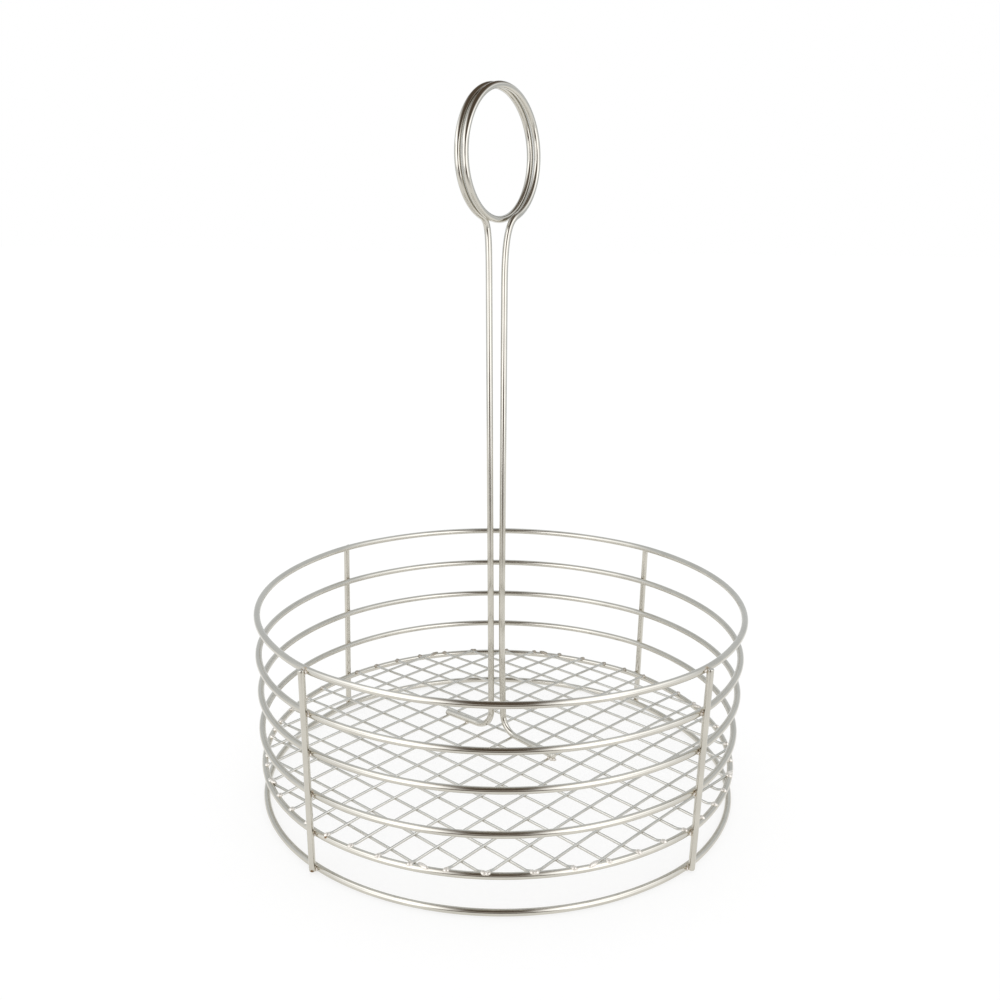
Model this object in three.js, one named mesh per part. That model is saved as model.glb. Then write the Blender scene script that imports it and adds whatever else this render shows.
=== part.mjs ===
// A round wire basket for condiment bottles: six welded rings, four uprights, a square-mesh floor and a
// carrying handle bent from one length of wire. Millimetres, +Z up, standing on z = 0 about the Z axis.
import * as THREE from 'three';

// Wire stock
const frameWire = 2.8; // diameter of the rings, uprights and handle
const meshWire = 1.2; // diameter of the floor mesh
const weldGap = 0.3; // clearance left where two wires are welded

// Wall of rings
const rimRadius = 107.5; // centre line of the rim ring
const baseInset = 1.8; // how much smaller the base ring's radius is than the rim's
const footRise = 16; // base ring to floor ring, between centres
const wallRise = 17.6; // each ring above the floor ring, between centres

// Uprights, outside the rings
const frontLeftAngle = -135.8;
const frontRightAngle = -46.5;
const backRightAngle = 44.2;
const backLeftAngle = 134.2;
const uprightLift = 0.8; // bottom ends above the table
const uprightSetback = 0.2; // top ends below the top of the rim
const uprightChamfer = 0.4; // eased edge of the cut ends

// Floor mesh: two layers of straight wires, crossing nearly square
const wiresPerLayer = 16;
const meshMargin = 11.8; // from a centred layer's outermost wires to the floor ring's centre line
const upperLayerAngle = 44.2;
const lowerLayerAngle = -44.2;
const lowerLayerShift = -0.9; // the upper layer is centred, the lower one is not quite
const meshOverhang = 0.8; // ends past the floor ring's centre line

// Handle: one wire from foot to foot, wound twice round a finger loop
const overallHeight = 307;
const loopRadius = 26.1; // centre line of the winding
const loopTurnGap = 0.7; // between neighbouring turns
const loopAngle = 55.6; // the loop's plane, turned from +X
const loopX = -3.2; // the loop's centre: the handle leans a little
const loopY = -0.1;
const neckAngle = 18.8; // from the loop's lowest point to where a leg leaves it
const neckRun = 27; // height of the bend from leg to loop
const neckLegReach = 21.5; // how far the bend keeps the leg's direction
const neckLoopReach = 6; // how far it keeps the loop's direction
const neckSpread = 4.7; // between the legs along the loop's plane, at the neck
const neckStagger = 4.5; // between the legs across the loop's plane, at the neck
const footX = -0.95; // the pair of legs where it meets the floor
const footY = 1.95;
const footSpread = 2.4;
const footStagger = 4.4;
const footBend = 8; // centre-line radius of the bend into a foot
const leftFootLength = 27.4; // leg's centre to the foot's end
const leftFootAngle = 138.3;
const rightFootLength = 34.7;
const rightFootAngle = -51.1;

// Facets
const wireSides = 8;
const ringSteps = 64;
const bendSteps = 6;
const neckSteps = 10;
const stepsPerTurn = 40;

const frameRadius = frameWire / 2;
const meshRadius = meshWire / 2;
const baseHeight = frameRadius;
const floorHeight = baseHeight + footRise;
const wallRingNames = ['wall_ring_lower', 'wall_ring_middle', 'wall_ring_upper', 'rim_ring'];
const rimHeight = floorHeight + wallRingNames.length * wallRise;
const wallSlope = baseInset / (rimHeight - baseHeight);
const lowerLayerHeight = floorHeight + frameRadius + weldGap + meshRadius;
const upperLayerHeight = lowerLayerHeight + meshWire + weldGap;
const footHeight = upperLayerHeight + meshRadius + weldGap + frameRadius;

const radians = THREE.MathUtils.degToRad;
const frameSteel = new THREE.MeshStandardMaterial({ color: '#bdb8ad', roughness: 0.3, metalness: 1 });
const meshSteel = new THREE.MeshStandardMaterial({ color: '#b4b1a8', roughness: 0.4, metalness: 1 });

// A wire's section is a polygon whose flats touch the round wire, so its corners stand a little outside.
function cornerRadius(wireRadius) {
  return wireRadius / Math.cos(Math.PI / wireSides);
}

function sectionCorners(wireRadius) {
  return Array.from({ length: wireSides }, (_, i) => {
    const angle = ((i + 0.5) / wireSides) * 2 * Math.PI;
    return new THREE.Vector2(Math.cos(angle), Math.sin(angle)).multiplyScalar(cornerRadius(wireRadius));
  });
}

function named(name, geometry, material) {
  const mesh = new THREE.Mesh(geometry, material);
  mesh.name = name;
  return mesh;
}

// The wall leans in towards the base: a ring's radius follows its height.
function wallRadius(height) {
  return rimRadius - (rimHeight - height) * wallSlope;
}

function wireRing(name, height) {
  const centre = new THREE.Vector2(wallRadius(height), 0);
  const profile = sectionCorners(frameRadius).map((corner) => corner.add(centre));
  profile.push(profile[0].clone());
  const geometry = new THREE.LatheGeometry(profile, ringSteps).rotateX(Math.PI / 2);
  const ring = named(name, geometry, frameSteel);
  ring.position.z = height;
  return ring;
}

// A straight wire along +Z from the origin, with its cut edges eased.
function uprightGeometry(length) {
  const corner = cornerRadius(frameRadius);
  const profile = [
    new THREE.Vector2(0, 0),
    new THREE.Vector2(corner - uprightChamfer, 0),
    new THREE.Vector2(corner, uprightChamfer),
    new THREE.Vector2(corner, length - uprightChamfer),
    new THREE.Vector2(corner - uprightChamfer, length),
    new THREE.Vector2(0, length),
  ];
  return new THREE.LatheGeometry(profile, wireSides, Math.PI / wireSides).rotateX(Math.PI / 2);
}

// An upright stands against the outside of every ring and leans with the wall.
function upright(name, angle) {
  const lean = Math.atan(wallSlope);
  const top = rimHeight + frameRadius - uprightSetback;
  const wire = named(name, uprightGeometry((top - uprightLift) / Math.cos(lean)), frameSteel);
  wire.position.set(wallRadius(uprightLift) + frameWire + weldGap, 0, uprightLift);
  wire.rotation.y = lean;
  const turned = new THREE.Group();
  turned.rotation.z = radians(angle);
  turned.add(wire);
  return turned;
}

// One layer of the floor: parallel wires evenly spread, each as long as the floor ring is wide there.
function meshLayer(prefix, angle, shift, height) {
  const layer = new THREE.Group();
  layer.rotation.z = radians(angle);
  layer.position.z = height;
  const floorRadius = wallRadius(floorHeight);
  const pitch = (2 * (floorRadius - meshMargin)) / (wiresPerLayer - 1);
  for (let i = 0; i < wiresPerLayer; i += 1) {
    const offset = shift + (i - (wiresPerLayer - 1) / 2) * pitch;
    const length = 2 * Math.sqrt((floorRadius + meshOverhang) ** 2 - offset ** 2);
    const corner = cornerRadius(meshRadius);
    const rod = new THREE.CylinderGeometry(corner, corner, length, wireSides, 1, false, Math.PI / wireSides);
    const number = String(i + 1).padStart(2, '0');
    const wire = named(`${prefix}_${number}`, rod.rotateZ(Math.PI / 2), meshSteel);
    wire.position.y = offset;
    layer.add(wire);
  }
  return layer;
}

// A wire's centre line through listed points, with one extrusion step from each point to the next.
class WirePath extends THREE.Curve {
  constructor(points) {
    super();
    this.points = points;
  }

  getPoint(t, target = new THREE.Vector3()) {
    const place = t * (this.points.length - 1);
    const index = Math.min(Math.floor(place), this.points.length - 2);
    return target.lerpVectors(this.points[index], this.points[index + 1], place - index);
  }

  getUtoTmapping(u) {
    return u;
  }
}

// Handle frame: u runs along the loop's plane, w across it towards the front, and z is the height. The
// handle's own axis leans in a straight line from between the feet to the loop's centre.
const loopHeight = overallHeight - loopRadius - frameRadius;
const neckHeight = loopHeight - loopRadius - neckRun;

function handlePoint(u, w, z) {
  const share = (z - footHeight) / (loopHeight - footHeight);
  const along = new THREE.Vector3(Math.cos(radians(loopAngle)), Math.sin(radians(loopAngle)), 0);
  const across = new THREE.Vector3(along.y, -along.x, 0);
  const axis = new THREE.Vector3(footX, footY, z).lerp(new THREE.Vector3(loopX, loopY, z), share);
  return axis.addScaledVector(along, u).addScaledVector(across, w);
}

// The winding is a helix about the loop's own axis, from one neck round and past it to the other.
function loopPoints() {
  const start = radians(neckAngle);
  const sweep = 4 * Math.PI - 2 * start;
  const risePerTurn = frameWire + loopTurnGap;
  const steps = Math.round((sweep / (2 * Math.PI)) * stepsPerTurn);
  return Array.from({ length: steps + 1 }, (_, i) => {
    const share = i / steps;
    const angle = start + share * sweep;
    const across = (share - 0.5) * (sweep / (2 * Math.PI)) * risePerTurn;
    return handlePoint(-loopRadius * Math.sin(angle), across, loopHeight - loopRadius * Math.cos(angle));
  });
}

// Half of the handle below the loop, from the foot's end up to the loop. Side is -1 for left, 1 for right.
function legPoints(side, loopEnd, loopNext, footAngle, footLength) {
  const bottom = handlePoint((side * footSpread) / 2, (side * footStagger) / 2, footHeight);
  const neck = handlePoint((side * neckSpread) / 2, (side * neckStagger) / 2, neckHeight);
  const outward = new THREE.Vector3(Math.cos(radians(footAngle)), Math.sin(radians(footAngle)), 0);
  const points = [bottom.clone().addScaledVector(outward, footLength)];
  for (let i = 0; i <= bendSteps; i += 1) {
    const angle = ((1 - i / bendSteps) * Math.PI) / 2;
    const point = bottom.clone().addScaledVector(outward, footBend * (1 - Math.cos(angle)));
    point.z += footBend * (1 - Math.sin(angle));
    points.push(point);
  }
  const legWay = neck.clone().sub(bottom).normalize();
  const loopWay = loopNext.clone().sub(loopEnd).normalize();
  const bend = new THREE.CubicBezierCurve3(
    neck,
    neck.clone().addScaledVector(legWay, neckLegReach),
    loopEnd.clone().addScaledVector(loopWay, -neckLoopReach),
    loopEnd,
  );
  points.push(...bend.getPoints(neckSteps).slice(0, -1));
  return points;
}

function handlePoints() {
  const loop = loopPoints();
  const left = legPoints(-1, loop[0], loop[1], leftFootAngle, leftFootLength);
  const right = legPoints(1, loop.at(-1), loop.at(-2), rightFootAngle, rightFootLength);
  return [...left, ...loop, ...right.reverse()];
}

// Least clear distance between stretches of the wire that are not next to each other along it.
function leastSelfGap(points) {
  const spacing = 0.5;
  const nearby = 4 * frameWire;
  const samples = [];
  let travelled = 0;
  for (let i = 0; i + 1 < points.length; i += 1) {
    const run = points[i].distanceTo(points[i + 1]);
    const count = Math.ceil(run / spacing);
    for (let k = 0; k < count; k += 1) {
      const place = points[i].clone().lerp(points[i + 1], k / count);
      samples.push({ place, travelled: travelled + (run * k) / count });
    }
    travelled += run;
  }
  let least = Infinity;
  samples.forEach((a, i) => {
    samples.slice(i + 1).forEach((b) => {
      if (b.travelled - a.travelled > nearby) {
        least = Math.min(least, a.place.distanceTo(b.place));
      }
    });
  });
  return least - 2 * cornerRadius(frameRadius);
}

function handleWire() {
  const points = handlePoints();
  console.log(`Handle wire, least gap to itself: ${leastSelfGap(points).toFixed(2)} mm`);
  const section = new THREE.Shape(sectionCorners(frameRadius));
  const geometry = new THREE.ExtrudeGeometry(section, {
    extrudePath: new WirePath(points),
    steps: points.length - 1,
    bevelEnabled: false,
  });
  return named('handle_wire', geometry, frameSteel);
}

const basket = new THREE.Group();
basket.add(wireRing('base_ring', baseHeight));
basket.add(wireRing('floor_ring', floorHeight));
wallRingNames.forEach((name, i) => basket.add(wireRing(name, floorHeight + (i + 1) * wallRise)));
basket.add(upright('upright_front_left', frontLeftAngle));
basket.add(upright('upright_front_right', frontRightAngle));
basket.add(upright('upright_back_right', backRightAngle));
basket.add(upright('upright_back_left', backLeftAngle));
basket.add(meshLayer('mesh_lower_wire', lowerLayerAngle, lowerLayerShift, lowerLayerHeight));
basket.add(meshLayer('mesh_upper_wire', upperLayerAngle, 0, upperLayerHeight));
basket.add(handleWire());

export default basket;
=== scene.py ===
"""Looks of a wire condiment basket: drawn wire, floor mesh with its welded tails, weld beads and a stage.

Every piece is a surface worked out on a grid with numpy, in metres, in the frame of the packed part.
"""
import math

import bpy
import numpy as np
from bpy.props import FloatProperty, FloatVectorProperty, IntProperty, PointerProperty
from mathutils import Matrix, Vector


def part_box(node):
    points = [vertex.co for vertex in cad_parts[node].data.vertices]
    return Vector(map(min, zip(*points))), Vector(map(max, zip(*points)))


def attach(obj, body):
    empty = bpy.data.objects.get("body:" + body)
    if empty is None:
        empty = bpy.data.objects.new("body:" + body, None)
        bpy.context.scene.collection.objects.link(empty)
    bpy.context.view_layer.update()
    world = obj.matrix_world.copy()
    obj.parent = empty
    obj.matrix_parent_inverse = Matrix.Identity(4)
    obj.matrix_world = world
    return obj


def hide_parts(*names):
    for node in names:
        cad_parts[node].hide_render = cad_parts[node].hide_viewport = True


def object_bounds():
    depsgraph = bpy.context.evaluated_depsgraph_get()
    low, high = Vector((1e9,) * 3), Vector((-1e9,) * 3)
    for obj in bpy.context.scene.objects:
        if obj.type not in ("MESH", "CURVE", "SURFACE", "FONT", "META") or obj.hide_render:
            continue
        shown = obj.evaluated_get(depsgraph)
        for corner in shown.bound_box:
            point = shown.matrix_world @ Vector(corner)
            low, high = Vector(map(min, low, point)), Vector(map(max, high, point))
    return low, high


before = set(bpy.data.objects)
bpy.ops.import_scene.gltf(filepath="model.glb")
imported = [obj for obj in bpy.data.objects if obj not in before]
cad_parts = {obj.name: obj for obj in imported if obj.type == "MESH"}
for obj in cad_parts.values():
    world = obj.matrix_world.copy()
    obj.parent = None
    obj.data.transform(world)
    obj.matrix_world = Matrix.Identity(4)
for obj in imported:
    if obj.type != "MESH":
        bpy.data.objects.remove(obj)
cad_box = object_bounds()

bl_info = {
    "name": "Condiment Basket",
    "version": (1, 0, 0),
    "blender": (4, 5, 0),
    "location": "3D View > Sidebar > Basket",
    "description": "Builds the wires, floor mesh, welds and stage of a wire condiment basket on its frame",
    "category": "Add Mesh",
}

MM = 0.001
BODY = "root"

RING_NODES = ("base_ring", "floor_ring", "wall_ring_lower", "wall_ring_middle", "wall_ring_upper", "rim_ring")
UPRIGHT_NODES = ("upright_front_left", "upright_front_right", "upright_back_right", "upright_back_left")
LOWER_NODES = tuple(sorted(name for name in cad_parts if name.startswith("mesh_lower_wire")))
UPPER_NODES = tuple(sorted(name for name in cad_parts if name.startswith("mesh_upper_wire")))
HANDLE_NODE = "handle_wire"

WIRE_MAP = "wire"
CARD_MAP = "card"
HEAT_LAYER = "weld_heat"
RUST_LAYER = "rust"
UP = np.array([0.0, 0.0, 1.0])
LEVEL = np.array([1.0, 1.0, 0.0])


# Sizes read from the frame

def unit(vectors):
    """The vectors, each divided by its own length."""
    return vectors / np.linalg.norm(vectors, axis=-1, keepdims=True)


def ring_size(node):
    """Centre-line radius, height and wire radius of a ring, from its box."""
    low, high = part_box(node)
    wire_radius = (high.z - low.z) / 2
    return (high.x - low.x) / 2 - wire_radius, (high.z + low.z) / 2, wire_radius


def wire_ends(node):
    """The two ends of a straight wire's centre line: its longest direction through the middle of its box."""
    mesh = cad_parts[node].data
    corners = np.empty(len(mesh.vertices) * 3, np.float32)
    mesh.vertices.foreach_get("co", corners)
    corners = corners.reshape(-1, 3).astype(float)
    low, high = corners.min(0), corners.max(0)
    centre = (low + high) / 2
    along = np.linalg.svd(corners - corners.mean(0), full_matrices=False)[2][0]
    reach = np.abs((corners - centre) @ along).max()
    return centre - reach * along, centre + reach * along


BASE_RADIUS, _, FRAME_RADIUS = ring_size("base_ring")
FLOOR_RADIUS, FLOOR_HEIGHT, _ = ring_size("floor_ring")
FLOOR_TOP = FLOOR_HEIGHT + FRAME_RADIUS
OVERALL_HEIGHT = cad_box[1].z


# Settings that a user would change

METRES = {"unit": "LENGTH", "precision": 5}
SHARE = {"min": 0.0, "max": 1.0, "subtype": "FACTOR"}
COLOUR = {"size": 3, "min": 0.0, "max": 1.0, "subtype": "COLOR"}


class BasketWireSettings(bpy.types.PropertyGroup):
    """The rings and uprights."""

    sides: IntProperty(name="Sides", description="Faces round a frame wire", default=20, min=8)
    ring_steps: IntProperty(name="Ring steps", description="Faces along a ring", default=960, min=48)
    waver: FloatProperty(
        name="Waver", description="How far a bent ring strays from a true circle",
        default=0.1 * MM, **METRES)
    ring_lifts: FloatVectorProperty(
        name="Ring lifts",
        description="How much each ring sits above its even spacing, from the base upwards",
        size=6, default=(0.15 * MM, 0.1 * MM, 0.0, 0.3 * MM, -0.4 * MM, 0.15 * MM), **METRES)
    ring_tilts: FloatVectorProperty(
        name="Ring tilts", description="How much higher each ring is welded at the front",
        size=6, default=(0.0, 0.1 * MM, 0.15 * MM, 0.7 * MM, -0.2 * MM, -0.15 * MM), **METRES)
    ring_leans: FloatVectorProperty(
        name="Ring leans", description="How much higher each ring is welded at the right",
        size=6, default=(-0.15 * MM, 0.0, 0.3 * MM, 0.3 * MM, 0.25 * MM, 0.1 * MM), **METRES)
    ring_shifts: FloatVectorProperty(
        name="Ring shifts", description="How far each ring sits to the right of the basket's axis",
        size=6, default=(-0.25 * MM, -0.45 * MM, -0.55 * MM, -0.2 * MM, -0.2 * MM, 0.1 * MM), **METRES)
    ring_ovals: FloatVectorProperty(
        name="Ring ovals", description="How much further each ring reaches to the left and right, in all",
        size=6, default=(0.2 * MM, 0.1 * MM, 0.2 * MM, 0.1 * MM, 0.0, -0.08 * MM), **METRES)
    front_right_lean: FloatProperty(
        name="Front right lean", description="How far the front right upright's top leans round the basket",
        default=1.3 * MM, **METRES)
    back_left_lean: FloatProperty(
        name="Back left lean", description="How far the back left upright's top leans round the basket",
        default=-2.8 * MM, **METRES)
    base_ring_forward: FloatProperty(
        name="Base ring forward",
        description="How far the base ring's sides sit forward, and its back by twice that",
        default=0.6 * MM, **METRES)
    weld_sink: FloatProperty(
        name="Weld sink", description="How far a ring is pressed into an upright by the weld",
        default=0.2 * MM, **METRES)
    weld_reach: FloatProperty(
        name="Weld reach", description="Length of ring on each side of an upright that is drawn to it",
        default=18 * MM, **METRES)
    bottom_round: FloatProperty(
        name="Bottom rounding", description="Height of an upright's rounded lower end",
        default=0.9 * MM, **METRES)
    top_ease: FloatProperty(
        name="Top easing", description="Eased edge of an upright's sawn upper end",
        default=0.3 * MM, **METRES)
    top_drops: FloatVectorProperty(
        name="Top drops", description="How much shorter each upright is sawn, in the order of the uprights",
        size=4, default=(0.4 * MM, 0.1 * MM, 0.9 * MM, 1.1 * MM), **METRES)


class FloorMeshSettings(bpy.types.PropertyGroup):
    """The two layers of thin wire in the floor."""

    sides: IntProperty(name="Sides", description="Faces round a mesh wire", default=12, min=6)
    step: FloatProperty(
        name="Step", description="Length of a mesh wire's faces",
        default=0.8 * MM, **METRES)
    wire: FloatProperty(name="Wire", description="Diameter of a mesh wire", default=1.2 * MM, **METRES)
    upper_middle: FloatProperty(
        name="Upper layer", description="Height of the upper layer at the middle of the floor",
        default=21.1 * MM, **METRES)
    lower_middle: FloatProperty(
        name="Lower layer", description="Height of the lower layer at the middle of the floor",
        default=20.5 * MM, **METRES)
    crown: FloatProperty(
        name="Crown", description="How much lower the floor lies at its ring than in the middle",
        default=2.1 * MM, **METRES)
    edge_drop: FloatProperty(
        name="Edge drop",
        description="How much further the mesh falls close to the front of the floor ring",
        default=0.9 * MM, **METRES)
    tail: FloatProperty(
        name="Tail", description="Length of a wire's end that is pressed onto the floor ring",
        default=3.6 * MM, **METRES)
    tail_cut: FloatProperty(
        name="Tail cut", description="How much further inwards a wire ends than its solid",
        default=1.4 * MM, **METRES)
    lying_cut: FloatProperty(
        name="Lying tail cut", description="How much shorter a wire is cut whose tail lies along the ring",
        default=0.3 * MM, **METRES)
    lying_angle: FloatProperty(
        name="Lying angle", description="Angle to the floor's radius from which a tail lies along the ring",
        default=math.radians(52), subtype="ANGLE")
    tail_seat: FloatProperty(
        name="Tail seat", description="Height of a tail's centre line above the top of the floor ring",
        default=0.0, **METRES)
    tail_flat: FloatProperty(
        name="Tail flattening", description="Height of a tail's section as a share of the wire's",
        default=0.68, min=0.2, max=1.0, subtype="FACTOR")
    tail_wide: FloatProperty(
        name="Tail widening", description="Width of a tail's section as a share of the wire's",
        default=1.5, min=1.0, max=2.0)


class HandleSettings(bpy.types.PropertyGroup):
    """The carrying handle, one wire from foot to foot."""

    sides: IntProperty(name="Sides", description="Faces round the handle wire", default=24, min=8)
    loop_radius: FloatProperty(
        name="Loop radius", description="Centre-line radius of the finger loop",
        default=26.0 * MM, **METRES)
    turn_gap: FloatProperty(
        name="Turn gap", description="Gap between the two turns of the loop",
        default=0.65 * MM, **METRES)
    loop_angle: FloatProperty(
        name="Loop angle", description="Turn of the loop's plane from the X axis",
        default=math.radians(55.1), subtype="ANGLE")
    loop_lean: FloatProperty(
        name="Loop lean", description="How far the loop's top leans across its plane",
        default=math.radians(-0.8), subtype="ANGLE")
    loop_place: FloatVectorProperty(
        name="Loop place", description="Centre of the loop, seen from above",
        size=2, default=(-3.05 * MM, -0.1 * MM), **METRES)
    neck_place: FloatVectorProperty(
        name="Neck place", description="Middle of the pair of legs at the neck, seen from above",
        size=2, default=(-3.4 * MM, 0.4 * MM), **METRES)
    neck_angle: FloatProperty(
        name="Neck angle", description="From the loop's lowest point to where a leg leaves it",
        default=math.radians(18.8), subtype="ANGLE")
    neck_run: FloatProperty(
        name="Neck run", description="Height of the bend from leg to loop",
        default=27.0 * MM, **METRES)
    neck_leg_reach: FloatProperty(
        name="Neck leg reach", description="How far the neck keeps the leg's direction",
        default=21.5 * MM, **METRES)
    neck_loop_reach: FloatProperty(
        name="Neck loop reach", description="How far the neck keeps the loop's direction",
        default=6.0 * MM, **METRES)
    neck_spread: FloatVectorProperty(
        name="Neck spread", description="Between the legs at the neck, along and across the loop's plane",
        size=2, default=(4.85 * MM, 4.5 * MM), **METRES)
    left_foot_place: FloatVectorProperty(
        name="Left foot place",
        description="Where the left leg's centre line meets its foot's, seen from above",
        size=2, default=(-3.62 * MM, 2.5 * MM), **METRES)
    right_foot_place: FloatVectorProperty(
        name="Right foot place",
        description="Where the right leg's centre line meets its foot's, seen from above",
        size=2, default=(1.8 * MM, 0.55 * MM), **METRES)
    right_flare: FloatVectorProperty(
        name="Right leg flare",
        description="How far the right leg curves away from its straight line at the foot",
        size=2, default=(0.85 * MM, -1.9 * MM), **METRES)
    flare_height: FloatProperty(
        name="Flare height", description="Height over which the right leg curves away",
        default=60.0 * MM, **METRES)
    foot_height: FloatProperty(
        name="Foot height", description="Height of the feet's centre line",
        default=23.1 * MM, **METRES)
    foot_bend: FloatProperty(
        name="Foot bend", description="Centre-line radius of the bend into a foot",
        default=8.5 * MM, **METRES)
    left_foot_length: FloatProperty(
        name="Left foot", description="From the left leg's centre to its foot's end",
        default=27.1 * MM, **METRES)
    left_foot_angle: FloatProperty(
        name="Left foot angle", description="Direction of the left foot from the X axis",
        default=math.radians(138.9), subtype="ANGLE")
    right_foot_length: FloatProperty(
        name="Right foot", description="From the right leg's centre to its foot's end",
        default=33.7 * MM, **METRES)
    right_foot_angle: FloatProperty(
        name="Right foot angle", description="Direction of the right foot from the X axis",
        default=math.radians(-50.2), subtype="ANGLE")
    end_ease: FloatProperty(
        name="End easing", description="Eased edge of the feet's cut ends",
        default=0.35 * MM, **METRES)


class WeldSettings(bpy.types.PropertyGroup):
    """Beads of weld metal and the tint that the heat left beside them."""

    bead_size: FloatVectorProperty(
        name="Bead size",
        description="Half sizes of a bead at an upright: along the ring, up, and outwards",
        size=3, default=(1.75 * MM, 1.05 * MM, 0.8 * MM), **METRES)
    foot_bead: FloatProperty(
        name="Foot bead", description="Half size of a bead under the handle's feet",
        default=1.1 * MM, **METRES)
    end_bead: FloatProperty(
        name="End bead", description="Half size of the bead at the right foot's end",
        default=1.5 * MM, **METRES)
    tail_bead: FloatVectorProperty(
        name="Tail bead",
        description="Half sizes of a bead at a mesh wire's end: along the wire, across it and up",
        size=3, default=(1.5 * MM, 1.2 * MM, 0.85 * MM), **METRES)
    lying_bead: FloatVectorProperty(
        name="Lying tail bead", description="Half sizes of the bead over a tail that lies along the ring",
        size=3, default=(3.0 * MM, 1.05 * MM, 0.8 * MM), **METRES)
    tail_outward: FloatProperty(
        name="Tail outward",
        description="How far past a mesh wire's end the middle of its bead lies at the front",
        default=0.5 * MM, **METRES)
    tail_sink: FloatProperty(
        name="Tail sink",
        description="How far under the floor ring's top the middle of a front tail's bead lies",
        default=0.25 * MM, **METRES)
    tail_lumps: FloatProperty(
        name="Tail lumps", description="How uneven a tail's bead is, as a share of its size",
        default=0.07, min=0.0, max=0.5, subtype="FACTOR")
    lumps: FloatProperty(
        name="Lumps", description="How uneven a bead is, as a share of its size",
        default=0.16, min=0.0, max=0.5, subtype="FACTOR")
    upright_heat: FloatProperty(
        name="Upright heat", description="Reach of the heat tint about an upright's weld",
        default=1.55 * MM, **METRES)
    back_tint: FloatProperty(
        name="Back tint", description="Strength of the heat tint at the two back uprights",
        default=0.6, **SHARE)
    mesh_heat: FloatProperty(
        name="Mesh heat", description="Reach of the heat tint about a crossing in the mesh",
        default=1.0 * MM, **METRES)
    mesh_tint: FloatProperty(
        name="Mesh tint", description="Strength of the heat tint at the mesh's crossings and tails",
        default=0.28, **SHARE)


class FinishSettings(bpy.types.PropertyGroup):
    """Colours and gloss of the bare steel."""

    frame_colour: FloatVectorProperty(
        name="Frame wire", description="Bare drawn wire of the rings, uprights and handle",
        default=(0.61, 0.585, 0.52), **COLOUR)
    mesh_colour: FloatVectorProperty(
        name="Mesh wire", description="Bare wire of the floor mesh",
        default=(0.63, 0.615, 0.565), **COLOUR)
    straw: FloatVectorProperty(
        name="Straw tint", description="Lightest heat tint, furthest from a weld",
        default=(0.52, 0.42, 0.29), **COLOUR)
    brown: FloatVectorProperty(
        name="Brown tint", description="Darkest heat tint, beside a weld",
        default=(0.2, 0.125, 0.065), **COLOUR)
    bead_colour: FloatVectorProperty(
        name="Weld bead", description="Clean top of a weld bead",
        default=(0.73, 0.69, 0.625), **COLOUR)
    tail_colour: FloatVectorProperty(
        name="Tail bead", description="Clean top of a weld bead at a mesh wire's end",
        default=(0.81, 0.77, 0.705), **COLOUR)
    # Painted shade: a darker colour given to the weld beads behind the basket's axis
    back_bead_shade: FloatVectorProperty(
        name="Back bead", description="Duller top of the weld beads at the basket's back",
        default=(0.44, 0.395, 0.33), **COLOUR)
    rust: FloatVectorProperty(
        name="Rust", description="Specks of rust",
        default=(0.27, 0.145, 0.05), **COLOUR)
    frame_roughness: FloatProperty(
        name="Frame roughness", description="Roughness of the frame wire",
        default=0.087, **SHARE)
    mesh_roughness: FloatProperty(
        name="Mesh roughness", description="Roughness of the mesh wire",
        default=0.123, **SHARE)
    lengthwise: FloatProperty(
        name="Lengthwise spread",
        description="How much more the polish spreads a reflection along the wire than round it",
        default=0.86, min=0.0, max=1.0)
    streak_spacing: FloatProperty(
        name="Streak spacing",
        description="Distance between the fine lines that drawing leaves along a wire",
        default=0.5 * MM, **METRES)
    streak_length: FloatProperty(
        name="Streak length", description="Length of those fine lines",
        default=60.0 * MM, **METRES)
    streak_depth: FloatProperty(
        name="Streak depth", description="Depth of those fine lines",
        default=0.0001 * MM, **METRES)


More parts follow.
